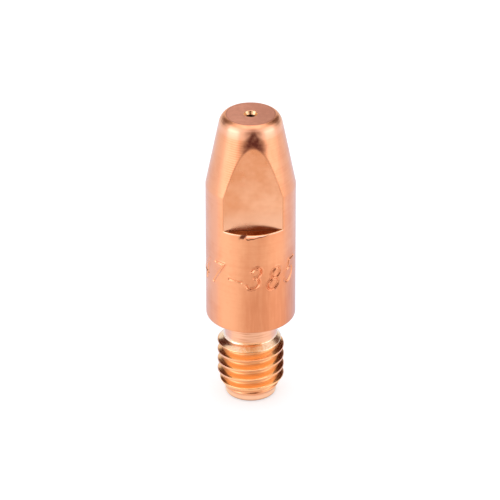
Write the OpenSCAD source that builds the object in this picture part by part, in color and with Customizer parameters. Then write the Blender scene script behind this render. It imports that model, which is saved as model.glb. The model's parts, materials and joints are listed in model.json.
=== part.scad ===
// Welding contact tip: one turned copper piece with a threaded stud, a relief
// neck, a plain body, a tapered nose, two wrench flats and a wire bore.
// Z runs along the axis, from the thread end at z = 0 up to the nose face.
// The flats face -Y and +Y. All sizes are in millimetres.

/* [Body] */
// Overall length, from the thread end to the nose face
tip_length = 28; // [26:0.5:45]
// Diameter of the turned body
body_d = 8; // [7.4:0.1:10]
// Radius of the round at the shoulder's edge
shoulder_round = 0.3; // [0.1:0.05:0.6]

/* [Nose] */
// Length of the taper, measured back from the nose face
taper_length = 6.8; // [4:0.1:9]
// Diameter at which the taper would meet the nose face
nose_d = 5.3; // [4:0.1:6.5]
// Radius of the round between the taper and the nose face
nose_round = 0.7; // [0.2:0.05:1.2]

/* [Wrench flats] */
// Width across the two flats
across_flats = 6; // [5:0.1:7]
// Height of the ledge below each flat, measured from the shoulder
ledge_height = 10; // [3:0.5:14]

/* [Stud] */
// Length of the stud, from the thread end to the shoulder
stud_length = 8; // [7:0.1:12]
// Length of the relief neck between the thread and the shoulder
neck_length = 2.05; // [1.4:0.05:2.5]
// Depth of the neck below the root of the thread
neck_relief = 0.04; // [0.02:0.01:0.2]
// Height of the chamfer where the thread runs out into the neck
runout_height = 0.65; // [0.3:0.05:1.2]
// Height of the taper that leads into the thread
lead_in_height = 1.25; // [0.6:0.05:1.6]
// Height of the plain pilot at the thread end
pilot_height = 0.55; // [0.4:0.05:1.2]
// Depth of the pilot below the root of the thread
pilot_relief = 0.09; // [0.05:0.01:0.3]
// Radius of the round at the thread end
end_round = 0.2; // [0.05:0.05:0.35]

/* [Thread] */
// Outer diameter of the thread
thread_d = 6; // [5.6:0.1:7]
// Pitch of the thread
thread_pitch = 1; // [0.75:0.05:1.1]
// Angle about Z at which the groove of the thread crosses z = 0
thread_start = -100; // [-180:1:180]

/* [Wire bore] */
// Diameter of the welding wire
wire_d = 0.6; // [0.6:0.1:1.2]
// Clearance of the wire in the bore, on the diameter
wire_clearance = 0.2; // [0.1:0.05:0.4]
// Width of the countersink around the bore at the nose face
countersink_width = 0.2; // [0.05:0.05:0.3]
// Full angle of the countersink
countersink_angle = 60; // [60:5:120]
// Diameter of the wire funnel at the thread end
funnel_d = 2.4; // [1.8:0.1:2.8]
// Depth of the wire funnel
funnel_depth = 1.6; // [0.8:0.1:3]

/* [Hidden] */

$fn = 128;
// Steps in each round of the turned outline
round_steps = 10;
// Steps in each turn of the thread
turn_steps = 32;
// Overlap of a cut past the face that it opens
cut = 0.1;

body_r = body_d / 2;
bore_r = (wire_d + wire_clearance) / 2;
countersink_slope = tan(countersink_angle / 2);
countersink_depth = countersink_width / countersink_slope;

// A metric profile: 60 degrees between the flanks, an eighth of the pitch flat
// at the crest, and seventeen twenty-fourths of the full triangle deep.
thread_r = thread_d / 2;
flank_slope = tan(30);
triangle_height = thread_pitch / 2 / flank_slope;
thread_root_r = thread_r - triangle_height * 17 / 24;
groove_mouth = thread_pitch * 7 / 8;
groove_reach = thread_pitch * 0.08;

neck_r = thread_root_r - neck_relief;
pilot_r = thread_root_r - pilot_relief;
thread_bottom = pilot_height + lead_in_height;
runout_top = stud_length - neck_length;
thread_top = runout_top - runout_height;

taper_start = tip_length - taper_length;
taper_angle = atan((body_r - nose_d / 2) / taper_length);
// Centre of the nose round, which touches the taper and the nose face
nose_round_z = tip_length - nose_round;
nose_round_r = nose_d / 2 + nose_round * tan(taper_angle) - nose_round / cos(taper_angle);

// Points of an arc in the outline, from one angle to another
function arc(r, z, radius, from, to) = [
    for (i = [0:round_steps])
        let (a = from + (to - from) * i / round_steps)
        [r + radius * cos(a), z + radius * sin(a)]
];

// The turned outline, from the axis at the thread end to the axis at the nose
outline = concat(
    [[0, 0]],
    arc(pilot_r - end_round, end_round, end_round, -90, 0),
    [
        [pilot_r, pilot_height],
        [thread_r, thread_bottom],
        [thread_r, thread_top],
        [neck_r, runout_top],
        [neck_r, stud_length]
    ],
    arc(body_r - shoulder_round, stud_length + shoulder_round, shoulder_round, -90, 0),
    [[body_r, taper_start]],
    arc(nose_round_r, nose_round_z, nose_round, taper_angle, 90),
    [[0, tip_length]]
);

module turned_blank() {
    rotate_extrude() polygon(outline);
}

// A helical groove with sloping flanks, right-handed, that starts below the
// thread end and runs out in the neck
module thread_groove() {
    lowest = -thread_pitch / 2;
    highest = runout_top + thread_pitch / 2;
    steps = ceil((highest - lowest) / thread_pitch * turn_steps);
    mouth_r = thread_r + groove_reach;
    mouth_half = groove_mouth / 2 + groove_reach * flank_slope;
    root_half = groove_mouth / 2 - (thread_r - thread_root_r) * flank_slope;
    section = [
        [thread_root_r, -root_half],
        [mouth_r, -mouth_half],
        [mouth_r, mouth_half],
        [thread_root_r, root_half]
    ];
    corners = len(section);
    points = [
        for (i = [0:steps])
            let (
                z = lowest + i * thread_pitch / turn_steps,
                a = thread_start + 360 * z / thread_pitch
            )
            for (p = section) [p[0] * cos(a), p[0] * sin(a), z + p[1]]
    ];
    sides = [
        for (i = [0:steps - 1])
            for (k = [0:corners - 1])
                let (
                    a = i * corners + k,
                    b = i * corners + (k + 1) % corners,
                    c = b + corners,
                    d = a + corners
                )
                for (face = [[a, b, c], [a, c, d]]) face
    ];
    first = [[3, 2, 1], [3, 1, 0]];
    last = [for (face = first) [for (k = [2:-1:0]) face[k] + steps * corners]];
    polyhedron(points, concat(first, sides, last));
}

// The cut that leaves one flat, facing -Y, from the ledge up past the nose
module wrench_cut() {
    ledge_z = stud_length + ledge_height;
    translate([-body_r - cut, -body_r - cut, ledge_z])
        cube([
            body_d + 2 * cut,
            body_r + cut - across_flats / 2,
            tip_length - ledge_z + cut
        ]);
}

// The wire bore, with a countersink at the nose and a funnel at the thread end
module wire_bore() {
    funnel_slope = (funnel_d / 2 - bore_r) / funnel_depth;
    translate([0, 0, -cut])
        cylinder(h = tip_length + 2 * cut, r = bore_r);
    translate([0, 0, tip_length - countersink_depth])
        cylinder(
            h = countersink_depth + cut,
            r1 = bore_r,
            r2 = bore_r + countersink_width + countersink_slope * cut
        );
    translate([0, 0, -cut])
        cylinder(h = funnel_depth + cut, r1 = funnel_d / 2 + funnel_slope * cut, r2 = bore_r);
}

module contact_tip() {
    color("peru")
        difference() {
            turned_blank();
            thread_groove();
            for (side = [0, 180]) rotate([0, 0, side]) wrench_cut();
            wire_bore();
        }
}

contact_tip();
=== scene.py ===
"""A copper welding contact tip on a white table: turned, threaded, milled and stamped as the real one is."""

import json
import math

import bmesh
import bpy
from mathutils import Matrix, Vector, kdtree


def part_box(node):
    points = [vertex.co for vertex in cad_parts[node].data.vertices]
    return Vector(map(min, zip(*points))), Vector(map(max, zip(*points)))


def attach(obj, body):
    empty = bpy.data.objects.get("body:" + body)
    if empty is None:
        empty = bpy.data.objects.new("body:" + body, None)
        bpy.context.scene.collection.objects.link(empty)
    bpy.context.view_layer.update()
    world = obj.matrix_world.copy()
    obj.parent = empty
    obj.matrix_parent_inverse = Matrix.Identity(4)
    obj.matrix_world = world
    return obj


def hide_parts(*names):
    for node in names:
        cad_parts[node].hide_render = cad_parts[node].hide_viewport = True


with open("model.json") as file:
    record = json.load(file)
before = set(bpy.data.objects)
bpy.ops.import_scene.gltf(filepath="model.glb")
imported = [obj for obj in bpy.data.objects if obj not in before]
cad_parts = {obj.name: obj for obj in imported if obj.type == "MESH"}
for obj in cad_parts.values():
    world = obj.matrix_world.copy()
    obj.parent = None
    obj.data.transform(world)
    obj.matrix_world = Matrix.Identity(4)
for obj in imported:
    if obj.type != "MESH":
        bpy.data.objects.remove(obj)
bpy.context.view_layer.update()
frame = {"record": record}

MM = 0.001

# Sizes that the frame gives, in metres
MOUNTS = {mount["name"]: mount for mount in frame["record"]["mounts"]}
TIP_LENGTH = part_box("contact_tip")[1].z
BODY_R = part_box("contact_tip")[1].x
SHOULDER_Z = MOUNTS["shoulder"]["pos_m"][2]
CREST_R = MOUNTS["thread"]["dims"]["r_mm"] * MM
CREST_LENGTH = MOUNTS["thread"]["dims"]["length_mm"] * MM
CREST_TOP = MOUNTS["thread"]["pos_m"][2] + CREST_LENGTH / 2
CREST_BOTTOM = CREST_TOP - CREST_LENGTH
PILOT_R = MOUNTS["pilot"]["dims"]["r_mm"] * MM
FLAT_Y = MOUNTS["wrench_flat_back"]["pos_m"][1]
BORE_R = MOUNTS["wire_bore"]["dims"]["r_mm"] * MM
BORE_LENGTH = MOUNTS["wire_bore"]["dims"]["length_mm"] * MM
BORE_TOP = MOUNTS["wire_bore"]["pos_m"][2] + BORE_LENGTH / 2
BORE_BOTTOM = BORE_TOP - BORE_LENGTH

# The thread: a metric profile, seventeen twenty-fourths of its full triangle deep
PITCH = 1.0 * MM
THREAD_START = math.radians(-100)
FLANK_LEAN = math.radians(30)
ROOT_R = CREST_R - PITCH / 2 / math.tan(FLANK_LEAN) * 17 / 24
ROOT_HALF_WIDTH = PITCH / 12
THREAD_INSIDE_R = 0.9 * ROOT_R
THREAD_SOFTNESS = 0.12 * MM

# Sizes of the turned outline that the frame doesn't name
PILOT_TOP = 0.55 * MM
END_ROUND = 0.2 * MM
FUNNEL_R = 1.2 * MM
NECK_RELIEF = 0.04 * MM
NECK_R = ROOT_R - NECK_RELIEF
NECK_LENGTH = 2.05 * MM
NECK_BOTTOM = SHOULDER_Z - NECK_LENGTH
NECK_FILLET = 0.12 * MM
RUNOUT_TAIL = 0.08 * MM
SHOULDER_ROUND = 0.3 * MM
TAPER_LENGTH = 6.8 * MM
NOSE_R = 2.65 * MM
NOSE_BLEND = 1.2 * MM
NOSE_ROUND = 0.6 * MM
NOSE_TURN = 45
COUNTERSINK_LEAN = math.radians(30)
COUNTERSINK_SLOPE = math.tan(COUNTERSINK_LEAN)
COUNTERSINK_R = BORE_R + (TIP_LENGTH - BORE_TOP) * COUNTERSINK_SLOPE
COUNTERSINK_EDGE = 0.03 * MM

# The ledge below each wrench flat
LEDGE_HEIGHT = 10 * MM
LEDGE_Z = SHOULDER_Z + LEDGE_HEIGHT
LEDGE_RIM = 0.09 * MM
LEDGE_FILLET = 0.02 * MM
LEDGE_RISE = 0.004 * MM

# Spacing of the mesh's rows along the outline, and number of its columns round the axis
BORE_ROWS = 3 * MM
BODY_ROWS = 0.5 * MM
SHOULDER_ROWS = 0.4 * MM
FACE_ROWS = 0.3 * MM
FLAT_ROWS = 0.2 * MM
FINE_ROWS = 0.13 * MM
COUNTERSINK_ROWS = 0.08 * MM
THREAD_ROWS = 0.05 * MM
SIDE_COLUMNS = 40
FLAT_COLUMNS = 80
SEAM_GAP = 0.0001 * MM

# The stamped number: a plain one, punched digit by digit round the front of the body
STAMP_NUMBER = "47-385"
STAMP_Z = 13.5 * MM
STAMP_FIRST = math.radians(-168)
STAMP_STEP = math.radians(26.5)
STAMP_DEPTH = 0.1 * MM
STAMP_LIP = 0.03 * MM
DIGIT_HEIGHT = 2.1 * MM
DIGIT_WIDTH = 1.05 * MM
DIGIT_SLANT = 0.28
DIGIT_SHIFTS = (-0.1 * MM, 0.12 * MM)
STROKE_HALF = 0.13 * MM
STAMP_BAND = DIGIT_HEIGHT / 2 + 3 * STROKE_HALF
STAMP_REACH = 2.8 * STROKE_HALF

# Where the wall of the number's groove and its mark fade, in half widths of the stroke
STAMP_WALL = (0.1, 1.0)
STAMP_MARK = (1.2, 0.6)

# The burr that the cutter left on the rim of the front ledge, with a tear beside it
BURR_START = math.radians(-102)
BURR_PEAK = math.radians(-99)
BURR_FALL = BURR_PEAK + 0.12
BURR_LOW = BURR_PEAK + 0.3
BURR_STOP = math.radians(-66)
BURR_FADE = BURR_STOP - 0.3
BURR_NOTCH = math.radians(-102.5)
BURR_DROP = 0.24 * MM
BURR_HEIGHT = 0.28 * MM
BURR_BAND = 0.8 * MM
BURR_REACH = 0.4 * MM
BURR_EDGE = (0.03 * MM, 0.005 * MM)
BURR_HAIR = 0.001 * MM
BURR_INSIDE_R = BODY_R - 0.12 * MM
TEAR_DEPTH = 0.05 * MM
TEAR_HALF_ANGLE = (0.08, 0.04)
TEAR_LENGTH = (0.42 * MM, 0.3 * MM)
TEAR_SLANT = 0.16 / MM
# The painted shadow below the burr: its drop for the burr's overhang, its gap and its half width
SHADOW_DROP = 0.53
SHADOW_GAP = 0.03 * MM
SHADOW_HALF_WIDTH = (0.06 * MM, 0.02 * MM)

# Values of a noise between which its patches fade
SOFT_PATCHES = (0.3, 0.7)
CLEAR_PATCHES = (0.35, 0.65)
STAIN_PATCHES = (0.35, 0.7)
CUT_PATCHES = (0.45, 0.75)
RING_PATCHES = (0.46, 0.66)
# Patches of the painted dark reflection above the front flat
DARK_REFLECTION_PATCHES = (0.25, 0.6)


class Nodes:
    """A node tree with short ways to add and link its nodes."""

    def __init__(self, tree):
        self.tree = tree

    def feed(self, socket, value):
        if isinstance(value, bpy.types.NodeSocket):
            self.tree.links.new(value, socket)
        else:
            socket.default_value = value

    def add(self, kind, inputs=None, **settings):
        node = self.tree.nodes.new(kind)
        for key, value in settings.items():
            setattr(node, key, value)
        for key, value in (inputs or {}).items():
            self.feed(node.inputs[key], value)
        return node

    def math(self, operation, *values):
        node = self.add("ShaderNodeMath", operation=operation)
        for socket, value in zip(node.inputs, values):
            self.feed(socket, value)
        return node.outputs[0]

    def times(self, value, *others):
        for other in others:
            value = self.math("MULTIPLY", value, other)
        return value

    def add_up(self, total, *parts):
        """Adds parts to a total, each a value and its weight."""
        for value, weight in parts:
            total = self.math("MULTIPLY_ADD", value, weight, total)
        return total

    def off(self, value, centre):
        """Distance of a value from a centre."""
        return self.math("ABSOLUTE", self.math("SUBTRACT", value, centre))

    def hypotenuse(self, x, y):
        return self.math("SQRT", self.math("ADD", self.times(x, x), self.times(y, y)))

    def ramp(self, value, low, high, start=0.0, stop=1.0):
        """Eases from start to stop as the value goes from low to high."""
        node = self.add("ShaderNodeMapRange", interpolation_type="SMOOTHSTEP")
        for socket, given in zip(node.inputs, (value, low, high, start, stop)):
            self.feed(socket, given)
        return node.outputs[0]

    def noise(self, vector, scale, detail):
        inputs = {"Vector": vector, "Scale": scale, "Detail": detail}
        return self.add("ShaderNodeTexNoise", inputs).outputs[0]

    def blend(self, factor, colour, other):
        node = self.add("ShaderNodeMix", {"Factor": factor}, data_type="RGBA")
        self.feed(node.inputs[6], colour)
        self.feed(node.inputs[7], other)
        return node.outputs[2]

    def separate(self, vector):
        return self.add("ShaderNodeSeparateXYZ", {0: vector}).outputs

    def combine(self, x, y, z):
        return self.add("ShaderNodeCombineXYZ", {0: x, 1: y, 2: z}).outputs[0]


class ShapeTree(Nodes):
    """A Geometry Nodes tree with named inputs, which ends in Realize Instances and Set Material."""

    KINDS = {float: "NodeSocketFloat", int: "NodeSocketInt"}

    def __init__(self, name, sizes):
        super().__init__(bpy.data.node_groups.new(name, "GeometryNodeTree"))
        self.sizes = sizes
        sockets = self.tree.interface
        sockets.new_socket("Geometry", in_out="INPUT", socket_type="NodeSocketGeometry")
        for label, value in sizes.items():
            kind = self.KINDS.get(type(value), "NodeSocketObject")
            sockets.new_socket(label, in_out="INPUT", socket_type=kind)
        sockets.new_socket("Material", in_out="INPUT", socket_type="NodeSocketMaterial")
        sockets.new_socket("Geometry", in_out="OUTPUT", socket_type="NodeSocketGeometry")
        self.given = self.add("NodeGroupInput").outputs
        self.place = self.add("GeometryNodeInputPosition").outputs[0]

    def attribute(self, name):
        return self.add("GeometryNodeInputNamedAttribute", {"Name": name}).outputs[0]

    def store(self, geometry, name, value):
        inputs = {"Geometry": geometry, "Name": name, "Value": value}
        return self.add("GeometryNodeStoreNamedAttribute", inputs).outputs[0]

    def polar(self):
        """Angle, radius and height of a point about the tip's axis."""
        x, y, z = self.separate(self.place)
        return self.math("ARCTAN2", y, x), self.hypotenuse(x, y), z

    def set_polar(self, geometry, angle, radius, z, chosen=True):
        x = self.times(radius, self.math("COSINE", angle))
        y = self.times(radius, self.math("SINE", angle))
        inputs = {"Geometry": geometry, "Selection": chosen, "Position": self.combine(x, y, z)}
        return self.add("GeometryNodeSetPosition", inputs).outputs[0]

    def distance_to(self, strokes):
        """Distance from a point to the strokes of another object."""
        info = self.add("GeometryNodeObjectInfo", {"Object": strokes})
        near = self.add("GeometryNodeProximity", {0: info.outputs["Geometry"]}, target_element="EDGES")
        return near.outputs["Distance"]

    def end(self, geometry):
        real = self.add("GeometryNodeRealizeInstances", {"Geometry": geometry}).outputs[0]
        inputs = {"Geometry": real, "Material": self.given["Material"]}
        dressed = self.add("GeometryNodeSetMaterial", inputs).outputs[0]
        self.feed(self.add("NodeGroupOutput").inputs[0], dressed)

    def apply_to(self, piece, material):
        """Adds the tree to a piece as a modifier, with its sizes set by the sockets' identifiers."""
        modifier = piece.modifiers.new(self.tree.name, "NODES")
        modifier.node_group = self.tree
        values = {**self.sizes, "Material": material}
        for socket in self.tree.interface.items_tree:
            if socket.in_out == "INPUT" and socket.name in values:
                modifier[socket.identifier] = values[socket.name]


def new_piece(name, points, edges=(), faces=()):
    mesh = bpy.data.meshes.new(name)
    mesh.from_pydata(points, edges, faces)
    piece = bpy.data.objects.new(name, mesh)
    bpy.context.scene.collection.objects.link(piece)
    return piece


def make_plain(piece):
    """Turns a piece and its modifiers into a plain mesh."""
    graph = bpy.context.evaluated_depsgraph_get()
    mesh = bpy.data.meshes.new_from_object(piece.evaluated_get(graph))
    piece.modifiers.clear()
    piece.data = mesh


# The turned outline

class Outline:
    """Rows of the turned outline: radius, height, share of the milled flat and inset at the ledge."""

    def __init__(self, r, z):
        self.rows = [(r, z, 0.0, 0.0)]
        self.share = 0.0

    def line(self, r, z, spacing):
        """A straight stretch, with evenly spaced rows."""
        start_r, start_z = self.rows[-1][:2]
        count = max(1, round(math.hypot(r - start_r, z - start_z) / spacing))
        for i in range(1, count + 1):
            t = i / count
            self.rows.append((start_r + (r - start_r) * t, start_z + (z - start_z) * t, self.share, 0.0))

    def arc(self, r, z, radius, start, stop, steps):
        """A round stretch about a centre, between two angles in degrees."""
        for i in range(steps + 1):
            a = math.radians(start + (stop - start) * i / steps)
            self.rows.append((r + radius * math.cos(a), z + radius * math.sin(a), self.share, 0.0))

    def ledge(self, r, z, rim, fillet, steps):
        """The ledge below the flats: a rounded rim, the ledge itself and a fillet in its corner."""
        quarter = [math.radians(90 * i / steps) for i in range(steps + 1)]
        for a in quarter[1:]:
            self.rows.append((r, z - rim + rim * math.sin(a), 0.0, rim * (1 - math.cos(a))))
        for share in (0.08, 0.5, 0.92):
            self.rows.append((r, z + LEDGE_RISE * share, share, rim * (1 - share) - fillet * share))
        self.share = 1.0
        for a in quarter:
            height = z + LEDGE_RISE + fillet * (1 - math.cos(a))
            self.rows.append((r, height, 1.0, -fillet * (1 - math.sin(a))))


def stud_rows(o):
    """From the funnel's rim up the pilot, the thread and the neck."""
    o.line(PILOT_R - END_ROUND, 0, FACE_ROWS)
    o.arc(PILOT_R - END_ROUND, END_ROUND, END_ROUND, start=-75, stop=0, steps=5)
    o.line(PILOT_R, PILOT_TOP, FINE_ROWS)
    o.line(CREST_R, CREST_BOTTOM, THREAD_ROWS)
    o.line(CREST_R, CREST_TOP, THREAD_ROWS)
    o.line(NECK_R, NECK_BOTTOM, THREAD_ROWS)
    o.line(NECK_R, NECK_BOTTOM + RUNOUT_TAIL, THREAD_ROWS)
    o.line(NECK_R, SHOULDER_Z - NECK_FILLET, FACE_ROWS)
    o.arc(NECK_R + NECK_FILLET, SHOULDER_Z - NECK_FILLET, NECK_FILLET, start=160, stop=90, steps=4)


def body_rows(o):
    """From the shoulder up the body to the start of the taper, past the number and the ledge."""
    o.line(BODY_R - SHOULDER_ROUND, SHOULDER_Z, SHOULDER_ROWS)
    centre_z = SHOULDER_Z + SHOULDER_ROUND
    o.arc(BODY_R - SHOULDER_ROUND, centre_z, SHOULDER_ROUND, start=-75, stop=0, steps=7)
    o.line(BODY_R, STAMP_Z - STAMP_BAND, BODY_ROWS)
    o.line(BODY_R, STAMP_Z + STAMP_BAND, FINE_ROWS)
    o.line(BODY_R, LEDGE_Z - BURR_BAND, BODY_ROWS)
    o.line(BODY_R, LEDGE_Z - LEDGE_RIM, FINE_ROWS)
    o.ledge(BODY_R, LEDGE_Z, LEDGE_RIM, LEDGE_FILLET, steps=4)
    o.line(BODY_R, TIP_LENGTH - TAPER_LENGTH, FLAT_ROWS)


def nose_rows(o):
    """Up the taper, which turns into the nose face in a wide arc and then a tight one."""
    taper_angle = math.atan((BODY_R - NOSE_R) / TAPER_LENGTH)
    halfway = math.sin(math.radians(NOSE_TURN))
    drop = NOSE_BLEND * (halfway - math.sin(taper_angle)) + NOSE_ROUND * (1 - halfway)
    taper_end_r = NOSE_R + drop * math.tan(taper_angle)
    taper_end_z = TIP_LENGTH - drop
    wide_r = taper_end_r - NOSE_BLEND * math.cos(taper_angle)
    wide_z = taper_end_z - NOSE_BLEND * math.sin(taper_angle)
    tight_r = wide_r + (NOSE_BLEND - NOSE_ROUND) * halfway
    tight_z = TIP_LENGTH - NOSE_ROUND
    # Each arc starts a little way on from the row before it
    wide_start = math.degrees(taper_angle) + 5
    tight_start = NOSE_TURN + 7
    o.line(taper_end_r, taper_end_z, FINE_ROWS)
    o.arc(wide_r, wide_z, NOSE_BLEND, wide_start, stop=NOSE_TURN, steps=6)
    o.arc(tight_r, tight_z, NOSE_ROUND, tight_start, stop=90, steps=6)


def bore_rows(o):
    """Across the nose face, over the countersink and back down the wire bore and the funnel."""
    o.line(COUNTERSINK_R + 2 * COUNTERSINK_EDGE, TIP_LENGTH, FACE_ROWS)
    edge_r = COUNTERSINK_R + COUNTERSINK_EDGE * COUNTERSINK_SLOPE
    o.arc(edge_r, TIP_LENGTH - COUNTERSINK_EDGE, COUNTERSINK_EDGE, start=90, stop=150, steps=4)
    o.line(BORE_R, BORE_TOP, COUNTERSINK_ROWS)
    o.line(BORE_R, BORE_BOTTOM, BORE_ROWS)
    o.line(FUNNEL_R, 0, BODY_ROWS)


def tip_outline():
    """The closed outline, from the funnel's rim round the outside and back down the wire bore."""
    o = Outline(FUNNEL_R, 0)
    for add_rows in (stud_rows, body_rows, nose_rows, bore_rows):
        add_rows(o)
    return o.rows


# The turned, threaded and milled shape

def column_angle(t, column):
    """Angle of a column: even steps across a side, then even steps across a flat."""
    half = t.math("ADD", t.given["Side columns"], t.given["Flat columns"])
    turn = t.math("FLOOR", t.math("DIVIDE", t.math("ADD", column, 0.5), half))
    local = t.math("SUBTRACT", column, t.times(turn, half))
    in_side = t.math("MINIMUM", local, t.given["Side columns"])
    in_flat = t.math("SUBTRACT", local, in_side)
    side_angle = t.times(t.given["Flat edge"], 2.0)
    flat_angle = t.math("SUBTRACT", math.pi, side_angle)
    side_step = t.math("DIVIDE", side_angle, t.given["Side columns"])
    flat_step = t.math("DIVIDE", flat_angle, t.given["Flat columns"])
    swept = t.math("ADD", t.times(in_side, side_step), t.times(in_flat, flat_step))
    return t.math("MULTIPLY_ADD", turn, math.pi, t.math("SUBTRACT", swept, t.given["Flat edge"]))


def turning_tree(rows):
    """Turns the outline about the axis, with columns that line up with the edges of the flats."""
    t = ShapeTree("turn_outline", {
        "Rows": rows,
        "Side columns": SIDE_COLUMNS,
        "Flat columns": FLAT_COLUMNS,
        "Flat edge": math.asin(FLAT_Y / BODY_R),
    })
    columns = t.times(t.math("ADD", t.given["Side columns"], t.given["Flat columns"]), 2)
    last_row = t.math("SUBTRACT", t.given["Rows"], 1)
    grid = t.add("GeometryNodeMeshGrid", {
        "Size X": columns,
        "Size Y": last_row,
        "Vertices X": t.math("ADD", columns, 1),
        "Vertices Y": t.given["Rows"],
    })
    x, y = t.separate(t.place)[:2]
    column = t.math("ROUND", t.math("MULTIPLY_ADD", columns, 0.5, x))
    row = t.math("ROUND", t.math("MULTIPLY_ADD", last_row, 0.5, y))

    def of_row(value, kind):
        inputs = {"Geometry": t.given["Geometry"], "Index": row}
        node = t.add("GeometryNodeSampleIndex", inputs, data_type=kind, domain="POINT")
        t.feed(node.inputs["Value"], value)
        return node.outputs[0]

    outline_point = t.separate(of_row(t.place, "FLOAT_VECTOR"))
    shape = t.store(grid.outputs[0], "share", of_row(t.attribute("share"), "FLOAT"))
    shape = t.store(shape, "inset", of_row(t.attribute("inset"), "FLOAT"))
    shape = t.set_polar(shape, column_angle(t, column), radius=outline_point[0], z=outline_point[2])
    t.end(t.add("GeometryNodeMergeByDistance", {"Geometry": shape, "Distance": SEAM_GAP}).outputs[0])
    return t


def thread_tree():
    """Cuts the right-hand thread: a helical groove with 60 degrees between its flanks and softened edges."""
    t = ShapeTree("cut_thread", {
        "Root radius": ROOT_R,
        "Root half width": ROOT_HALF_WIDTH,
        "Inside radius": THREAD_INSIDE_R,
        "Flank slope": 1 / math.tan(FLANK_LEAN),
        "Pitch": PITCH,
        "Start": THREAD_START,
        "Top": NECK_BOTTOM + PITCH,
        "Softness": THREAD_SOFTNESS,
    })
    angle, radius, z = t.polar()
    turns = t.math("DIVIDE", t.math("SUBTRACT", angle, t.given["Start"]), 2 * math.pi)
    phase = t.math("SUBTRACT", t.math("DIVIDE", z, t.given["Pitch"]), turns)
    from_groove = t.times(t.math("PINGPONG", phase, 0.5), t.given["Pitch"])
    up_flank = t.math("SUBTRACT", from_groove, t.given["Root half width"])
    flank = t.math("MULTIPLY_ADD", up_flank, t.given["Flank slope"], t.given["Root radius"])
    groove = t.math("SMOOTH_MAX", flank, t.given["Root radius"], t.given["Softness"])
    cut = t.math("SMOOTH_MIN", groove, radius, t.given["Softness"])
    on_stud = t.math("LESS_THAN", z, t.given["Top"])
    outside = t.math("GREATER_THAN", radius, t.given["Inside radius"])
    t.end(t.set_polar(t.given["Geometry"], angle, cut, z, t.times(on_stud, outside)))
    return t


def milling_tree():
    """Mills the two flats and leaves the ledge below each, with a rounded rim and a filleted corner."""
    t = ShapeTree("mill_flats", {
        "Flat distance": FLAT_Y,
        "Ledge blend": 0.4 * MM,
        "Edge softness": 0.03 * MM,
        "Crease width": 0.06 * MM,
        "Least lean": 0.01,
    })
    angle, radius, z = t.polar()
    lean = t.math("MAXIMUM", t.math("ABSOLUTE", t.math("SINE", angle)), t.given["Least lean"])
    plane = t.math("DIVIDE", t.given["Flat distance"], lean)
    depth = t.math("SUBTRACT", radius, t.math("SMOOTH_MIN", radius, plane, t.given["Edge softness"]))
    blend = t.math("MINIMUM", t.math("DIVIDE", depth, t.given["Ledge blend"]), 1.0)
    milled = t.times(depth, t.attribute("share"))
    removed = t.math("MULTIPLY_ADD", blend, t.attribute("inset"), milled)
    # Marks for the finish: where the flat is milled, and the crease along its edge
    inside = t.ramp(milled, 0.0, t.given["Crease width"])
    crease = t.ramp(t.off(radius, plane), t.given["Crease width"], 0.0)
    shape = t.store(t.given["Geometry"], "milled", inside)
    shape = t.store(shape, "crease", t.times(crease, t.attribute("share")))
    t.end(t.set_polar(shape, angle, t.math("SUBTRACT", radius, removed), z))
    return t


# The stamped number

def arc_points(x, y, rx, ry, start, stop, steps=14):
    """Points along part of an ellipse, between two angles in degrees."""
    angles = [math.radians(start + (stop - start) * i / steps) for i in range(steps + 1)]
    return [(x + rx * math.cos(a), y + ry * math.sin(a)) for a in angles]


def digit_strokes():
    """The stroke of each punch, a path in a box one wide and one high."""
    return {
        "3": arc_points(0.45, 0.76, 0.42, 0.24, 160, -90) + arc_points(0.45, 0.26, 0.52, 0.26, 90, -160),
        "4": [(0.78, 0), (0.78, 1), (0, 0.3), (1, 0.3)],
        "5": [(0.95, 1), (0.2, 1), (0.12, 0.58)] + arc_points(0.45, 0.32, 0.52, 0.32, 125, -150),
        "7": [(0, 1), (1, 1), (0.3, 0)],
        "8": arc_points(0.5, 0.76, 0.4, 0.24, -90, 270) + arc_points(0.5, 0.26, 0.5, 0.26, 90, -270),
        "-": [(0, 0.5), (1.1, 0.42)],
    }


def stamp_strokes():
    """The number's strokes, wrapped round the body."""
    paths = digit_strokes()
    points, edges = [], []
    for i, mark in enumerate(STAMP_NUMBER):
        middle = STAMP_FIRST + i * STAMP_STEP
        # Hand-set punches: every other digit sits a little lower
        base = STAMP_Z - DIGIT_HEIGHT / 2 + DIGIT_SHIFTS[i % 2]
        for k, (u, v) in enumerate(paths[mark]):
            along = (u - 0.5) * DIGIT_WIDTH + (v - 0.5) * DIGIT_HEIGHT * DIGIT_SLANT
            a = middle + along / BODY_R
            if k:
                edges.append((len(points) - 1, len(points)))
            points.append((BODY_R * math.cos(a), BODY_R * math.sin(a), base + v * DIGIT_HEIGHT))
    return new_piece("stamp_strokes", points, edges)


def refine_near(piece, strokes, reach, rounds=2):
    """Splits the edges that lie near the strokes, so that the mesh can hold them."""
    samples = []
    for edge in strokes.data.edges:
        start, stop = (strokes.data.vertices[i].co for i in edge.vertices)
        count = max(1, math.ceil((stop - start).length / (reach / 2)))
        samples += [start.lerp(stop, i / count) for i in range(count + 1)]
    tree = kdtree.KDTree(len(samples))
    for i, point in enumerate(samples):
        tree.insert(point, i)
    tree.balance()
    mesh = bmesh.new()
    mesh.from_mesh(piece.data)
    for _ in range(rounds):
        near = {v for v in mesh.verts if tree.find(v.co)[2] < reach}
        edges = [e for e in mesh.edges if e.verts[0] in near and e.verts[1] in near]
        bmesh.ops.subdivide_edges(mesh, edges=edges, cuts=1, use_grid_fill=True)
    mesh.to_mesh(piece.data)
    mesh.free()


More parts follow.
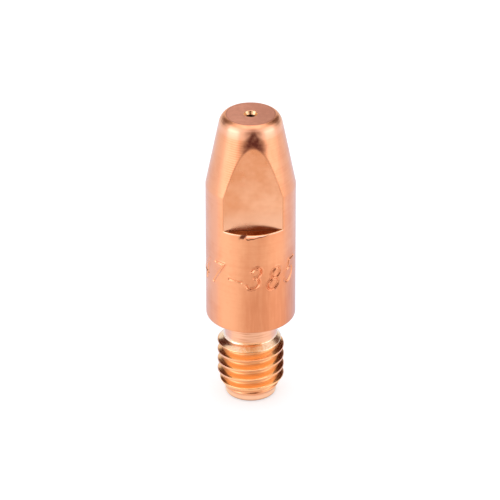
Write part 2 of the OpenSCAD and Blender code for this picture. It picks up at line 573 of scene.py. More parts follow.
def stamp_tree(strokes):
    """Punches the strokes into the body: a rounded groove with a raised lip of pushed-up copper."""
    t = ShapeTree("stamp_number", {
        "Strokes": strokes,
        "Body radius": BODY_R,
        "Half width": STROKE_HALF,
        "Depth": STAMP_DEPTH,
        "Lip": STAMP_LIP,
        "Lip centre": 1.3,
        "Lip half width": 0.7,
        "Reach": 2.6,
    })
    angle, _, z = t.polar()
    # Distance from the stroke, counted in its half widths
    away = t.math("DIVIDE", t.distance_to(t.given["Strokes"]), t.given["Half width"])
    force = t.ramp(t.noise(t.place, scale=0.35 / MM, detail=1.0), *SOFT_PATCHES, start=0.55, stop=1.15)
    groove = t.times(t.ramp(away, *STAMP_WALL, start=1.0, stop=0.0), t.given["Depth"])
    from_lip = t.off(away, t.given["Lip centre"])
    lip = t.times(t.ramp(from_lip, 0.0, t.given["Lip half width"], start=1.0, stop=0.0), t.given["Lip"])
    change = t.times(t.math("SUBTRACT", lip, groove), force)
    near = t.math("LESS_THAN", away, t.given["Reach"])
    shape = t.store(t.given["Geometry"], "stamped", t.ramp(away, *STAMP_MARK))
    t.end(t.set_polar(shape, angle, t.math("ADD", t.given["Body radius"], change), z, near))
    return t


# The burr

def burr_stroke():
    """A line just under the rim of the front ledge, where the burr hangs."""
    steps = 24
    points = []
    for i in range(steps + 1):
        a = BURR_NOTCH + (BURR_STOP - BURR_NOTCH) * i / steps
        points.append((BODY_R * math.cos(a), BODY_R * math.sin(a), LEDGE_Z - BURR_DROP))
    return new_piece("burr_stroke", points, [(i, i + 1) for i in range(steps)])


def burr_swell(t, angle):
    """Size of the burr along the rim: a steep start, a lower middle, a slow end and an uneven edge."""
    rising = t.ramp(angle, t.given["Start"], t.given["Peak"])
    falling = t.ramp(angle, t.given["Fall"], t.given["Low"], start=1.0, stop=0.45)
    ended = t.ramp(angle, t.given["Fade"], t.given["Stop"], start=1.0, stop=0.0)
    uneven = t.ramp(t.noise(t.place, scale=1.5 / MM, detail=1.0), *SOFT_PATCHES, start=0.85, stop=1.1)
    return t.times(rising, t.times(falling, ended), uneven)


def tear_notch(t, angle, below):
    """The tear, which runs down aslant beside the burr."""
    aslant = t.math("MULTIPLY_ADD", below, t.given["Tear slant"], t.math("SUBTRACT", angle, t.given["Notch"]))
    across = t.ramp(t.math("ABSOLUTE", aslant), *TEAR_HALF_ANGLE)
    return t.times(across, t.ramp(below, *TEAR_LENGTH))


def burr_tree():
    """Turns the rim of the front ledge out and down into a thin burr, with a tear at one end."""
    t = ShapeTree("raise_burr", {
        "Start": BURR_START,
        "Peak": BURR_PEAK,
        "Fall": BURR_FALL,
        "Low": BURR_LOW,
        "Fade": BURR_FADE,
        "Stop": BURR_STOP,
        "Notch": BURR_NOTCH,
        "Rim": LEDGE_Z,
        "Drop": BURR_DROP,
        "Height": BURR_HEIGHT,
        "Tear": TEAR_DEPTH,
        "Tear slant": TEAR_SLANT,
        "Inside radius": BURR_INSIDE_R,
        "Hair": BURR_HAIR,
    })
    angle, radius, z = t.polar()
    below = t.math("SUBTRACT", t.given["Rim"], z)
    swell = burr_swell(t, angle)
    # The burr leans out from the rim down to its edge, then steps straight back to the body
    reach = t.times(t.given["Drop"], swell)
    overhang = t.times(t.given["Height"], swell)
    lean = t.math("MINIMUM", t.math("DIVIDE", below, t.math("ADD", reach, t.given["Hair"])), 1.0)
    past_edge = t.math("SUBTRACT", below, reach)
    lip = t.times(lean, overhang, t.ramp(past_edge, *BURR_EDGE))
    notch = tear_notch(t, angle, below)
    change = t.math("SUBTRACT", lip, t.times(notch, t.given["Tear"]))
    on_body = t.math("GREATER_THAN", radius, t.given["Inside radius"])
    under = t.times(on_body, t.math("GREATER_THAN", t.math("ADD", below, t.given["Hair"]), 0.0))
    # The tear is painted dark, and a painted shadow lies in the corner below the burr
    from_corner = t.off(past_edge, t.math("MULTIPLY_ADD", overhang, SHADOW_DROP, SHADOW_GAP))
    burr_shadow = t.times(t.ramp(from_corner, *SHADOW_HALF_WIDTH), t.ramp(swell, 0.0, 0.3))
    shape = t.store(t.given["Geometry"], "torn", t.times(t.math("MAXIMUM", notch, burr_shadow), under))
    t.end(t.set_polar(shape, angle, t.math("ADD", radius, change), z, under))
    return t


def contact_tip(material):
    rows = tip_outline()
    points = [(row[0], 0, row[1]) for row in rows]
    tip = new_piece("tip", points, [(i, i + 1) for i in range(len(rows) - 1)])
    for name, column in (("share", 2), ("inset", 3)):
        layer = tip.data.attributes.new(name, "FLOAT", "POINT")
        layer.data.foreach_set("value", [row[column] for row in rows])
    for tree in (turning_tree(len(rows)), thread_tree(), milling_tree()):
        tree.apply_to(tip, material)
    make_plain(tip)

    strokes, burr = stamp_strokes(), burr_stroke()
    refine_near(tip, strokes, STAMP_REACH)
    refine_near(tip, burr, BURR_REACH)
    stamp_tree(strokes).apply_to(tip, material)
    burr_tree().apply_to(tip, material)
    make_plain(tip)
    for helper in (strokes, burr):
        bpy.data.objects.remove(helper)
    tip.data.shade_smooth()
    return tip


# Heights and radii for the finish, in millimetres, the unit of its coordinates
TOP_MM = TIP_LENGTH / MM
CONE_FOOT_MM = TOP_MM - TAPER_LENGTH / MM
LEDGE_MM = LEDGE_Z / MM
SHOULDER_MM = SHOULDER_Z / MM
NECK_FOOT_MM = NECK_BOTTOM / MM
THREAD_TOP_MM = CREST_TOP / MM
THREAD_BOTTOM_MM = CREST_BOTTOM / MM
PILOT_TOP_MM = PILOT_TOP / MM
BODY_R_MM = BODY_R / MM
CREST_R_MM = CREST_R / MM
ROOT_R_MM = ROOT_R / MM
PILOT_R_MM = PILOT_R / MM
COUNTERSINK_R_MM = COUNTERSINK_R / MM
BORE_R_MM = BORE_R / MM
FLAT_Y_MM = FLAT_Y / MM

# Where each finish starts and where it is full, along the axis
FACE_Z = (TOP_MM - 0.03, TOP_MM - 0.008)
FACE_RIM_Z = (TOP_MM - 0.2, TOP_MM - 0.1)
MATTE_NOSE_Z = (TOP_MM - 0.7, TOP_MM - 0.3)
# The band of the painted highlight round the nose
NOSE_HIGHLIGHT_FROM = (TOP_MM - 1.5, TOP_MM - 0.8)
NOSE_HIGHLIGHT_TO = (TOP_MM - 0.1, TOP_MM - 0.4)
CONE_SHADE_Z = (TOP_MM - 1.0, TOP_MM - 1.5)
# The painted dark reflection above the front flat
DARK_REFLECTION_FROM = (TOP_MM - 0.3, TOP_MM - 0.8)
DARK_REFLECTION_TO = (TOP_MM - 2.8, TOP_MM - 2.1)
DARK_REFLECTION_SPREAD_Z = (TOP_MM - 0.35, TOP_MM - 1.8)
MOUTH_Z = (BORE_TOP / MM, BORE_TOP / MM + 0.1)
CONE_Z = (CONE_FOOT_MM - 0.3, CONE_FOOT_MM + 0.3)
LIT_FLAT_Z = (TOP_MM - 1.0, LEDGE_MM + 1.0)
LIT_FLAT_FOOT_Z = (LEDGE_MM + 2.4, LEDGE_MM + 0.6)
FLAT_FOOT_Z = (LEDGE_MM + 0.9, LEDGE_MM + 0.5)
LEDGE_RIM_FROM = (LEDGE_MM - 0.11, LEDGE_MM - 0.07)
LEDGE_RIM_TO = (LEDGE_MM + 0.01, LEDGE_MM - 0.02)
# Where the painted shade low on the body starts and is full
LOW_SHADE_Z = (LEDGE_MM - 1.0, SHOULDER_MM + 2.0)
BODY_Z = (SHOULDER_MM - 0.05, SHOULDER_MM + 0.2)
NECK_Z = (NECK_FOOT_MM - 0.05, NECK_FOOT_MM + 0.25)
STUD_Z = (NECK_FOOT_MM + 0.3, NECK_FOOT_MM)
CHAMFER_Z = (THREAD_TOP_MM - 0.05, THREAD_TOP_MM + 0.1)
THREAD_FROM = (THREAD_TOP_MM + 0.2, THREAD_TOP_MM)
THREAD_TO = (PILOT_TOP_MM, THREAD_BOTTOM_MM)
PILOT_Z = (PILOT_TOP_MM + 0.3, PILOT_TOP_MM - 0.1)
CONTACT_SHADOW_Z = (0.26, 0.08)

# The same, by radius or by distance from a place
FACE_R = (COUNTERSINK_R_MM, COUNTERSINK_R_MM + 0.06)
FACE_RIM_MIDDLE = 2.14
FACE_RIM_WIDTH = (0.09, 0.02)
MOUTH_R = (COUNTERSINK_R_MM + 0.03, COUNTERSINK_R_MM)
IN_BORE_R = (BORE_R_MM + 0.05, BORE_R_MM + 0.02)
GROOVE_R = (CREST_R_MM + 0.01, CREST_R_MM - 0.08)
ROOT_FADE_R = (ROOT_R_MM + 0.3, ROOT_R_MM + 0.1)
CONTACT_SHADOW_R = (PILOT_R_MM - 0.22, PILOT_R_MM - 0.1)
OFF_RIM_R = (BODY_R_MM - 0.2, BODY_R_MM - 0.4)
IN_CUT_Y = (FLAT_Y_MM - 0.04, FLAT_Y_MM)
CORNER_SHADE_WIDTH = (0.09, 0.05)
LEDGE_THICKNESS = (0.05, 0.03)

# The same, from left to right and from back to front
# Where the painted shade low on the body grows to the right, and where the painted light on its left fades
LOW_SHADE_X = (-2.0, 0.4)
LIT_LEFT_X = (-0.4, -1.6)
# Where the painted shade on the left of the cone lies, between these
CONE_SHADE_LEFT = (-2.6, -1.9)
CONE_SHADE_RIGHT = (-0.6, -1.4)
LIT_FLAT_X = (-3.0, 2.0)
SCUFF_MIDDLE = -0.9
SCUFF_WIDTH = (1.7, 0.0)
NECK_SHADE_X = (1.9, 0.4)
CHAMFER_HIGHLIGHT_X = (0.3, 1.5)
CREST_REFLECTION_X = (1.9, 2.6)
FACE_LIGHT_X = (-1.8, 0.8)
# The painted dark reflection above the front flat
DARK_REFLECTION_MIDDLE = 0.06
DARK_REFLECTION_WIDTH = (1.15, 0.3)
DARK_REFLECTION_Y = (-2.2, -2.5)

# Spacing of the lathe's feed marks on the cone, in millimetres
FEED_STEP = 0.21

# Scale of the tool marks along their cut, which draws them out into lines
MARK_STRETCH = 0.02

# Gloss and bump of the bare body
BARE_ROUGHNESS = 0.32
BARE_STRETCH = 0.75
BUMP_STRENGTH = 0.25
BUMP_DISTANCE = 0.006 * MM

# Colours of the copper, some of them painted light, shade and reflections
BRIGHT_BODY = (0.92, 0.4, 0.2, 1)
STAINED_AND_SHADED_BODY = (0.82, 0.296, 0.132, 1)
# Painted shade low on the right of the body, broken by rub streaks
SHADED_RUBBED_BODY = (0.745, 0.264, 0.12, 1)
DARK_FLAT = (0.75, 0.287, 0.126, 1)
PALE_FLAT = (0.9, 0.435, 0.245, 1)
CUT_LINE = (0.85, 0.33, 0.17, 1)
LIT_FLAT_FOOT = (0.9, 0.48, 0.3, 1)
PALE_LIT_NECK = (0.93, 0.49, 0.3, 1)
DARK_RING = (0.62, 0.22, 0.1, 1)
GOLDEN_CHAMFER = (0.9, 0.43, 0.185, 1)
CHAMFER_HIGHLIGHT = (1.0, 0.69, 0.46, 1)
PALE_LIT_PILOT = (1.0, 0.6, 0.385, 1)
GROOVE_REFLECTION_GOLD = (0.99, 0.52, 0.23, 1)
CREST_MIDDLE_REFLECTION = (0.86, 0.4, 0.18, 1)
CREST_SIDE_REFLECTION = (0.96, 0.56, 0.42, 1)
CONTACT_SHADOW_EDGE = (0.36, 0.15, 0.09, 1)
# Painted highlight round the nose
NOSE_HIGHLIGHT = (1.0, 0.52, 0.33, 1)
# Painted dark reflection above the front flat
DARK_REFLECTION_BROWN = (0.19, 0.048, 0.03, 1)
PALE_FACE = (0.72, 0.33, 0.21, 1)
DULL_FACE = (0.61, 0.265, 0.165, 1)
DARK_FACE_RIM = (0.4, 0.14, 0.08, 1)
LEDGE_RIM_HIGHLIGHT = (1.0, 0.68, 0.54, 1)
LIT_GOLDEN_LEDGE = (0.93, 0.51, 0.22, 1)
LEDGE_CORNER_SHADE = (0.3, 0.095, 0.035, 1)
DARK_CREASE = (0.3, 0.09, 0.04, 1)
# The tear painted dark, and a painted shadow under the burr
TEAR_AND_SHADOW_BLACK = (0.15, 0.04, 0.02, 1)
PALE_HOLE_MOUTH = (0.86, 0.5, 0.26, 1)
BORE_SHADE_BLACK = (0.03, 0.012, 0.006, 1)
COPPER_EDGE_TINT = (0.87, 1.0, 1.0, 1)


class CopperFinish(Nodes):
    """Bare copper with the marks of the lathe and the cutter, a matte nose face and a little staining, and
    with painted light, shade and reflections laid into its colour.
    """

    def __init__(self):
        self.material = bpy.data.materials.new("bare_copper")
        self.material.use_nodes = True
        super().__init__(self.material.node_tree)
        self.shader = self.tree.nodes["Principled BSDF"].inputs
        place = self.add("ShaderNodeTexCoord").outputs["Object"]
        self.place = self.add("ShaderNodeVectorMath", {0: place, 3: 1 / MM}, operation="SCALE").outputs[0]
        self.x, self.y, self.z = self.separate(self.place)
        self.aside = self.math("ABSOLUTE", self.x)
        self.radius = self.hypotenuse(self.x, self.y)
        self.milled, self.crease, self.stamped, self.torn = (
            self.add("ShaderNodeAttribute", attribute_name=name).outputs["Fac"]
            for name in ("milled", "crease", "stamped", "torn")
        )
        self.turned = self.math("SUBTRACT", 1.0, self.milled)
        self.stain = self.noise(self.place, scale=0.4, detail=3.0)
        self.mottled = self.noise(self.place, scale=2.4, detail=4.0)

    def stretched(self, x=1.0, y=1.0, z=1.0):
        """Coordinates on which a noise is drawn out, where a share is small."""
        return self.combine(self.times(self.x, x), self.times(self.y, y), self.times(self.z, z))

    def along(self, *stretches):
        """A mask of stretches along the axis."""
        return self.times(*(self.ramp(self.z, *stretch) for stretch in stretches))

    def lay(self, colour, mask, strength=1.0):
        """Lays a colour over the ones before it."""
        self.colour = self.blend(self.times(mask, strength), self.colour, colour)

    # Where each finish lies

    def mark_nose(self):
        self.face = self.times(self.along(FACE_Z), self.ramp(self.radius, *FACE_R))
        self.mouth = self.times(self.along(MOUTH_Z), self.ramp(self.radius, *MOUTH_R))
        bare = self.math("SUBTRACT", 1.0, self.math("MAXIMUM", self.milled, self.face))
        self.turned_cone = self.times(self.along(CONE_Z), bare)

    def mark_stud(self):
        self.stud = self.along(STUD_Z)
        self.body = self.along(BODY_Z)
        self.neck = self.math("SUBTRACT", self.along(NECK_Z), self.body)
        self.chamfer = self.times(self.along(CHAMFER_Z), self.stud)
        threaded = self.along(THREAD_FROM, THREAD_TO)
        self.groove = self.times(threaded, self.ramp(self.radius, *GROOVE_R))
        self.crest = self.math("SUBTRACT", threaded, self.groove)
        self.root = self.times(threaded, self.ramp(self.radius, *ROOT_FADE_R))

    def mark_ledge(self):
        """The ledge, the painted highlight on its rim and the painted shade in its corner; the smooth foot of
        the flat, scuffed left of its middle.
        """
        depth = self.math("ABSOLUTE", self.y)
        in_cut = self.ramp(depth, *IN_CUT_Y)
        self.ledge = self.times(self.ramp(self.off(self.z, LEDGE_MM), *LEDGE_THICKNESS), in_cut)
        self.rim_highlight = self.times(self.along(LEDGE_RIM_FROM, LEDGE_RIM_TO), in_cut)
        near_wall = self.ramp(self.off(depth, FLAT_Y_MM), *CORNER_SHADE_WIDTH)
        self.corner_shade = self.times(near_wall, self.ledge, self.ramp(self.radius, *OFF_RIM_R))
        self.flat_foot = self.times(self.milled, self.along(FLAT_FOOT_Z))
        near_scuff = self.ramp(self.off(self.x, SCUFF_MIDDLE), *SCUFF_WIDTH)
        self.scuffed = self.times(self.flat_foot, near_scuff, self.math("SUBTRACT", 1.0, self.ledge))

    def mark_tools(self):
        """Tool marks run round the axis, straight across the flats and in rings on the nose face."""
        across = self.math("MULTIPLY_ADD", self.radius, self.face, self.z)
        drawn_out = self.combine(self.times(self.x, MARK_STRETCH), self.times(self.y, MARK_STRETCH), across)
        self.tool_marks = self.noise(drawn_out, scale=6.5, detail=3.0)
        self.feed_marks = self.math("SINE", self.times(self.z, 2 * math.pi / FEED_STEP))
        self.cone_marks = self.times(self.feed_marks, self.turned_cone)

    # The colours, from the widest to the smallest finish

    def colour_body(self):
        """The body and the cone: ringed, stained and wiped; painted light on the left of the body; painted
        shade on the left of the cone, crossed by feed marks; painted shade low on the right of the body,
        broken by rub streaks.
        """
        wiped = self.noise(self.stretched(z=0.12), scale=1.6, detail=3.0)
        scratched = self.noise(self.stretched(z=0.1), scale=4.0, detail=3.0)
        # Painted shade: the body darker low down on its right, broken into rub streaks
        right = self.ramp(self.x, *LOW_SHADE_X, start=0.05)
        low_right_shade = self.times(self.body, self.along(LOW_SHADE_Z), right)
        shade_streaks = self.times(low_right_shade, self.ramp(scratched, *CLEAR_PATCHES, start=-0.1, stop=0.3))
        ringed = self.times(self.ramp(self.tool_marks, *SOFT_PATCHES), self.add_up(0.25, (low_right_shade, -0.2)))
        # Painted light: the body paler on its left
        left = self.times(self.body, self.ramp(self.x, *LIT_LEFT_X))
        # Painted shade on the left of the cone, beside the flat, crossed by the lathe's feed marks
        cone_shade_x = self.times(self.ramp(self.x, *CONE_SHADE_LEFT), self.ramp(self.x, *CONE_SHADE_RIGHT))
        cone_shade_and_marks = self.times(self.turned_cone, cone_shade_x, self.along(CONE_SHADE_Z))
        stain_and_shade = self.add_up(
            -0.25,
            (ringed, 1.0),
            (self.ramp(self.stain, *STAIN_PATCHES), 0.4),
            (self.ramp(wiped, *SOFT_PATCHES), 0.3),
            (self.ramp(self.mottled, *SOFT_PATCHES), 0.2),
            (left, -0.25),
            (low_right_shade, 0.3),
            (shade_streaks, 1.0),
            (self.cone_marks, 0.1),
            (cone_shade_and_marks, self.add_up(0.45, (self.feed_marks, 0.45))),
        )
        self.colour = self.blend(stain_and_shade, BRIGHT_BODY, STAINED_AND_SHADED_BODY)
        # Painted shade low on the right, laid in rub streaks
        self.lay(SHADED_RUBBED_BODY, self.times(low_right_shade, self.ramp(scratched, *SOFT_PATCHES, start=0.6, stop=0.9)))

    def colour_flats(self):
        """The flats: cloudy, painted paler low down and to the right as painted light, and paler still near
        the ledge, with fine lines across them.
        """
        clouds = self.noise(self.place, scale=0.7, detail=2.0)
        # Painted light: paler low down and to the right; cloudy and mottled at random
        pale = self.add_up(
            self.times(self.along(LIT_FLAT_Z), self.ramp(self.x, *LIT_FLAT_X, start=0.3)),
            (self.ramp(clouds, *SOFT_PATCHES, start=-0.2, stop=0.2), 1.0),
            (self.ramp(self.mottled, *SOFT_PATCHES, start=-0.1, stop=0.1), 1.0),
        )
        self.lay(self.blend(pale, DARK_FLAT, PALE_FLAT), self.milled)
        fine_lines = self.noise(self.stretched(x=0.05, y=0.0), scale=9.0, detail=2.0)
        self.lay(CUT_LINE, self.times(self.milled, self.ramp(fine_lines, *CUT_PATCHES, stop=0.35)))
        # Painted light: paler still near the ledge
        self.lay(LIT_FLAT_FOOT, self.times(self.milled, self.ramp(self.z, *LIT_FLAT_FOOT_Z, stop=0.6)))

    def colour_stud(self):
        """The neck painted paler as painted light, with its rings darkened in front as painted shade; the
        speckled run-out chamfer with painted highlights at its sides; the pilot painted paler as painted
        light; the thread's painted reflections, golden in the grooves and on the middle of the crests and
        pink on the crests at the sides; and a painted contact shadow along the pilot's lower edge.
        """
        # Painted light: the neck painted paler than the body
        self.lay(PALE_LIT_NECK, self.neck)
        rings = self.noise(self.stretched(x=0.06, y=0.0), scale=7.0, detail=1.0)
        rings = self.ramp(rings, *RING_PATCHES)
        # Painted shade: the turning rings darkened in front
        front_shade = self.ramp(self.aside, *NECK_SHADE_X, start=0.1, stop=0.7)
        self.lay(DARK_RING, self.times(self.neck, rings, front_shade))
        specks = self.noise(self.place, scale=5.0, detail=3.0)
        specks = self.ramp(specks, *CLEAR_PATCHES, start=-0.35, stop=0.35)
        # Painted highlight at the chamfer's sides, with specks at random
        chamfer_highlight_and_specks = self.math("ADD", self.ramp(self.aside, *CHAMFER_HIGHLIGHT_X), specks)
        self.lay(self.blend(chamfer_highlight_and_specks, GOLDEN_CHAMFER, CHAMFER_HIGHLIGHT), self.chamfer)
        # Painted light: the pilot painted paler
        self.lay(PALE_LIT_PILOT, self.along(PILOT_Z))
        # Painted reflection: the grooves painted golden, as the flanks light each other
        self.lay(GROOVE_REFLECTION_GOLD, self.groove)
        # Painted reflection on the crests: golden in the middle, pink at the sides
        crest_reflection = self.blend(self.ramp(self.aside, *CREST_REFLECTION_X), CREST_MIDDLE_REFLECTION, CREST_SIDE_REFLECTION)
        self.lay(crest_reflection, self.crest, strength=0.8)
        # Painted contact shadow along the pilot's lower edge, where it stands on the table
        contact_shadow = self.times(self.along(CONTACT_SHADOW_Z), self.ramp(self.radius, *CONTACT_SHADOW_R))
        self.lay(CONTACT_SHADOW_EDGE, contact_shadow, strength=0.7)

    def colour_nose(self):
        """A ring of painted highlight round the nose, a painted dark reflection above the front flat, and the
        matte face in its rim, mottled and painted paler on its left as painted light.
        """
        # A ring of painted highlight round the nose
        nose_highlight = self.times(self.along(NOSE_HIGHLIGHT_FROM, NOSE_HIGHLIGHT_TO), self.turned)
        self.lay(NOSE_HIGHLIGHT, nose_highlight, strength=0.65)
        # Painted dark reflection above the front flat, uneven with the mottled noise
        spread = self.ramp(self.z, *DARK_REFLECTION_SPREAD_Z, start=0.2, stop=1.35)
        from_middle = self.math("DIVIDE", self.off(self.x, DARK_REFLECTION_MIDDLE), spread)
        dark_reflection = self.times(
            self.ramp(from_middle, *DARK_REFLECTION_WIDTH),
            self.along(DARK_REFLECTION_FROM, DARK_REFLECTION_TO),
            self.ramp(self.y, *DARK_REFLECTION_Y),
            self.turned,
            self.ramp(self.mottled, *DARK_REFLECTION_PATCHES, start=0.7),
        )
        self.lay(DARK_REFLECTION_BROWN, dark_reflection)
        # The face: mottled at random, and painted paler on its left as painted light
        mottle = self.ramp(self.mottled, *CLEAR_PATCHES, start=-0.3, stop=0.3)
        face_light_and_mottle = self.math("ADD", mottle, self.ramp(self.x, *FACE_LIGHT_X))
        self.lay(self.blend(face_light_and_mottle, PALE_FACE, DULL_FACE), self.face)
        face_rim = self.ramp(self.off(self.radius, FACE_RIM_MIDDLE), *FACE_RIM_WIDTH)
        self.lay(DARK_FACE_RIM, self.times(face_rim, self.along(FACE_RIM_Z)), strength=0.35)

    def colour_ledge_and_hole(self):
        # Painted highlight along the ledge's rim
        self.lay(LEDGE_RIM_HIGHLIGHT, self.rim_highlight, strength=0.65)
        # Painted light: the ledge painted paler and golden
        self.lay(LIT_GOLDEN_LEDGE, self.ledge, strength=0.85)
        # Painted shade in the ledge's corner, against the flat
        self.lay(LEDGE_CORNER_SHADE, self.corner_shade)
        self.lay(DARK_CREASE, self.crease, strength=0.2)
        # The tear painted dark, and a painted shadow under the burr
        self.lay(TEAR_AND_SHADOW_BLACK, self.torn)
        self.lay(PALE_HOLE_MOUTH, self.mouth)
        # Painted shade down the wire bore
        self.lay(BORE_SHADE_BLACK, self.ramp(self.radius, *IN_BORE_R))

    # The gloss

    def set_gloss(self):
        """Roughness, and a gloss drawn out across the tool marks."""
        rough = self.add_up(
            BARE_ROUGHNESS,
            (self.ramp(self.stain, *SOFT_PATCHES), 0.06),
            (self.milled, -0.1),
            (self.flat_foot, -0.08),
            (self.along(MATTE_NOSE_Z), 0.04),
            (self.stamped, -0.1),
            (self.ledge, -0.06),
            (self.scuffed, 0.13),
            (self.face, 0.2),
            (self.mouth, -0.14),
            (self.math("ADD", self.crest, self.root), 0.25),
            (self.stud, -0.12),
        )
        self.feed(self.shader["Roughness"], rough)
        even = self.math("MAXIMUM", self.face, self.math("MAXIMUM", self.stud, self.ledge))
        drawn_out = self.add_up(BARE_STRETCH, (even, -0.6), (self.milled, -0.2))
        self.feed(self.shader["Anisotropic"], drawn_out)
        self.feed(self.shader["Anisotropic Rotation"], 0.25)
        tangent = self.add("ShaderNodeTangent", direction_type="RADIAL", axis="Z")
        self.feed(self.shader["Tangent"], tangent.outputs[0])
        self.feed(self.shader["Metallic"], 1.0)
        self.feed(self.shader["Specular Tint"], COPPER_EDGE_TINT)

    def set_bump(self):
        height = self.add_up(self.tool_marks, (self.cone_marks, 0.6))
        strength = self.add_up(BUMP_STRENGTH, (self.milled, -0.1), (self.turned_cone, 0.35))
        inputs = {"Height": height, "Strength": strength, "Distance": BUMP_DISTANCE}
        self.feed(self.shader["Normal"], self.add("ShaderNodeBump", inputs).outputs[0])


def bare_copper():
    finish = CopperFinish()
    finish.mark_nose()
    finish.mark_stud()
    finish.mark_ledge()
    finish.mark_tools()
    finish.colour_body()
    finish.colour_flats()
    finish.colour_stud()
    finish.colour_nose()
    finish.colour_ledge_and_hole()
    finish.feed(finish.shader["Base Color"], finish.colour)
    finish.set_gloss()
    finish.set_bump()
    return finish.material


# Studio sizes, in metres, and colours
TABLE_WIDTH = 6.0
TABLE_GREY = (0.68, 0.715, 0.755, 1)
TABLE_GLOW = 0.44
WHITE = (1, 1, 1, 1)
WORLD_STRENGTH = 0.97
LAMP_DISTANCE = 0.5
LAMP_COLOUR = (0.97, 1.0, 1.3)
CARD_LIFT = 0.001
FLOOR_CARD_PLACE = (0.02, -0.5, CARD_LIFT)
DARK_BROWN = (0.2, 0.065, 0.026, 1)
RED_BROWN = (0.5, 0.13, 0.05, 1)
DEEP_BROWN_LEFT = (0.1, 0.022, 0.009, 1)
DEEP_BROWN_RIGHT = (0.09, 0.018, 0.006, 1)
PALE_BLUE = (0.68, 0.75, 1.0, 1)

# The photograph's frame, focal length and middle of the tip, in pixels
FRAME_PX = 500
FOCAL_PX = 4118
AIM_PX = (250.7, 253.6)


def aim(thing, azimuth, elevation, distance):
    """Faces a thing to the middle of the tip: azimuth 0 is the front, and 90 is the right."""
    a, e = math.radians(azimuth), math.radians(elevation)
    way = Vector((math.sin(a) * math.cos(e), -math.cos(a) * math.cos(e), math.sin(e)))
    thing.location = Vector((0, 0, TIP_LENGTH / 2)) + way * distance
    thing.rotation_mode = "QUATERNION"
    thing.rotation_quaternion = (-way).to_track_quat("-Z", "Y")


def plate(name, bottom, top, height):
    """A flat plate, which may be narrower at one end."""
    b, t, h = bottom / 2, top / 2, height / 2
    return new_piece(name, [(-b, -h, 0), (b, -h, 0), (t, h, 0), (-t, h, 0)], faces=[(0, 1, 2, 3)])


def matte_paint(name, colour, glow_colour):
    """A material without gloss."""
    material = bpy.data.materials.new(name)
    material.use_nodes = True
    shader = material.node_tree.nodes["Principled BSDF"].inputs
    shader["Base Color"].default_value = colour
    shader["Roughness"].default_value = 1.0
    shader["Specular IOR Level"].default_value = 0.0
    shader["Emission Color"].default_value = glow_colour
    return material, shader


def white_table():
    """A table that is white to the camera and in reflections, and keeps the tip's shadow."""
    table = plate("table", TABLE_WIDTH, TABLE_WIDTH, TABLE_WIDTH)
    material, shader = matte_paint("white_table", TABLE_GREY, WHITE)
    n = Nodes(material.node_tree)
    ray = n.add("ShaderNodeLightPath").outputs
    seen = n.math("MAXIMUM", ray["Is Camera Ray"], ray["Is Glossy Ray"])
    seen = n.math("MAXIMUM", seen, ray["Is Transmission Ray"])
    n.feed(shader["Emission Strength"], n.times(seen, TABLE_GLOW))
    table.data.materials.append(material)


def white_world():
    world = bpy.data.worlds.new("white_world")
    bpy.context.scene.world = world
    world.use_nodes = True
    background = world.node_tree.nodes["Background"]
    background.inputs["Color"].default_value = WHITE
    background.inputs["Strength"].default_value = WORLD_STRENGTH


def softbox(name, azimuth, elevation, width, height, radiance):
    """A lamp that lights the copper but not the table."""
    light = bpy.data.lights.new(name, "AREA")
    light.shape = "RECTANGLE"
    light.size = width
    light.size_y = height
    light.energy = radiance * math.pi * width * height
    light.color = LAMP_COLOUR
    lamp = bpy.data.objects.new(name, light)
    lamp.visible_diffuse = False
    bpy.context.scene.collection.objects.link(lamp)
    aim(lamp, azimuth, elevation, LAMP_DISTANCE)


def paint_card(card, colour, glow=0.0):
    """Gives a card one matte colour, and shows it to reflections alone."""
    material, shader = matte_paint(card.name, colour, colour)
    shader["Emission Strength"].default_value = glow
    card.data.materials.append(material)
    card.visible_camera = False
    card.visible_diffuse = False
    card.visible_shadow = False


def dark_card(name, colour, bottom, top, height):
    card = plate(name, bottom, top, height)
    paint_card(card, colour)
    return card


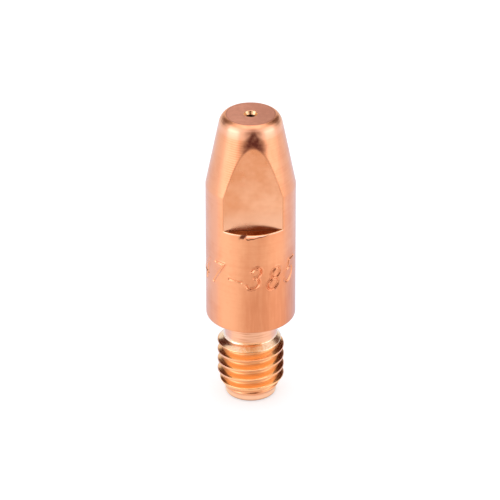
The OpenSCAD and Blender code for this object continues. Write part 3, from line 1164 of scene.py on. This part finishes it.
def dark_cards():
    """Dark cards in front and behind, which give the copper its dark bands."""
    behind_camera = dark_card("dark_behind_camera", DARK_BROWN, bottom=1.2, top=0.2, height=0.9)
    aim(behind_camera, azimuth=5, elevation=22, distance=0.75)
    floor = dark_card("dark_floor", RED_BROWN, bottom=1.0, top=0.1, height=0.6)
    floor.location = FLOOR_CARD_PLACE
    back_left = dark_card("dark_back_left", DEEP_BROWN_LEFT, bottom=0.42, top=0.42, height=0.54)
    aim(back_left, azimuth=-134, elevation=31, distance=0.6)
    back_right = dark_card("dark_back_right", DEEP_BROWN_RIGHT, bottom=0.46, top=0.46, height=0.54)
    aim(back_right, azimuth=130, elevation=32, distance=0.6)


def pale_half_ring(inner, outer, glow):
    """Half a ring of pale card, lying on the table behind the tip."""
    steps = 16
    angles = [math.pi * i / steps for i in range(steps + 1)]
    points = [(r * math.cos(a), r * math.sin(a), CARD_LIFT) for a in angles for r in (inner, outer)]
    faces = [(i, i + 1, i + 3, i + 2) for i in range(0, 2 * steps, 2)]
    paint_card(new_piece("pale_half_ring", points, faces=faces), PALE_BLUE, glow)


def photo_camera():
    """The camera, from the photograph's side and height, fitted to its outline of the tip."""
    data = bpy.data.cameras.new("camera")
    data.sensor_width = 36.0
    data.lens = data.sensor_width * FOCAL_PX / FRAME_PX
    data.shift_x = (FRAME_PX / 2 - AIM_PX[0]) / FRAME_PX
    data.shift_y = (AIM_PX[1] - FRAME_PX / 2) / FRAME_PX
    data.clip_start = 0.01
    data.clip_end = 20
    camera = bpy.data.objects.new("camera", data)
    bpy.context.scene.collection.objects.link(camera)
    bpy.context.scene.camera = camera
    aim(camera, azimuth=-4, elevation=29.1, distance=0.367)


def studio():
    white_table()
    white_world()
    softbox("softbox_left", azimuth=-68, elevation=12, width=0.4, height=0.36, radiance=1.9)
    softbox("softbox_right", azimuth=66, elevation=12, width=0.38, height=0.36, radiance=1.25)
    softbox("softbox_top", azimuth=0, elevation=90, width=0.46, height=0.46, radiance=1.2)
    dark_cards()
    pale_half_ring(inner=0.005, outer=0.08, glow=0.48)
    photo_camera()
    bpy.context.scene.view_settings.view_transform = "Standard"


tip = contact_tip(bare_copper())
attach(tip, "root")
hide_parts("contact_tip")
studio()
